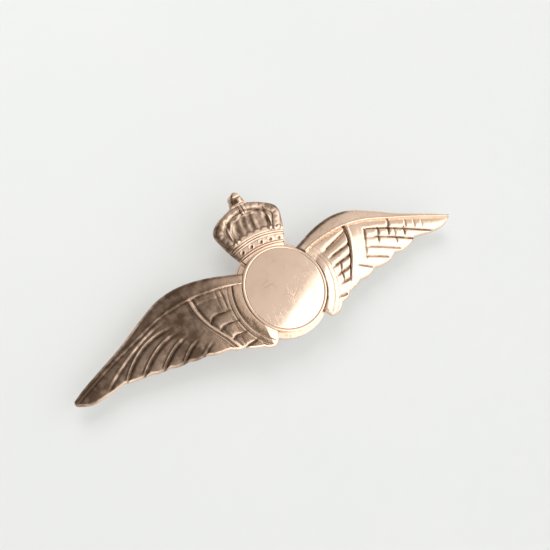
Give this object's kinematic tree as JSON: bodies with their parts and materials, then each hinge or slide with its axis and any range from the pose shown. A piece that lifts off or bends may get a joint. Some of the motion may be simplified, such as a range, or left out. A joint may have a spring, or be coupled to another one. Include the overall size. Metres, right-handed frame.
{
  "type": "pilot wings pin",
  "caption": "Brooch of two spread feathered wings and a crown round a raised plain disc, with a hinged pin and a turning safety catch behind.",
  "frame": {"origin": "centre of the object's footprint, on the surface that its hinge lugs and catch rest on with the face up", "axes": "+X along the wings, +Y towards the crown, +Z out of the badge's face"},
  "size_m": [0.048, 0.0168, 0.005],
  "materials": {
    "wing_metal": "die-struck rose gold, dark tarnish in the feather grooves, bright worn ridges",
    "crown_metal": "cast rose gold, dark in the recesses",
    "disc_metal": "polished rose gold with fine wear scratches",
    "bezel_metal": "polished rose gold edge",
    "plate_metal": "satin rose gold",
    "fitting_metal": "satin gold with solder tarnish",
    "pin_metal": "drawn gold wire, lightly polished"
  },
  "bodies": {
    "badge": {"left_wing": "wing_metal", "right_wing": "wing_metal", "crown": "crown_metal", "centre_disc": "disc_metal", "disc_bezel": "bezel_metal", "back_plate": "plate_metal", "hinge_plate": "fitting_metal", "hinge_lug_upper": "fitting_metal", "hinge_lug_lower": "fitting_metal", "hinge_rivet": "fitting_metal", "catch_plate": "fitting_metal", "catch_body": "fitting_metal"},
    "pin": {"pin_knuckle": "pin_metal", "pin_stem": "pin_metal"},
    "lock": {"catch_rotor": "pin_metal", "catch_lever": "pin_metal"}
  },
  "joints": [
    {"name": "pin_hinge", "type": "hinge", "parent": "badge", "child": "pin", "pos_m": [-0.0148, -0.00203, 0.00111], "axis": [0, 1, 0], "range_deg": [0, 120]},
    {"name": "catch_turn", "type": "hinge", "parent": "badge", "child": "lock", "pos_m": [0.0148, -0.00203, 0.00111], "axis": [1, 0, 0], "range_deg": [0, 60]}
  ]
}
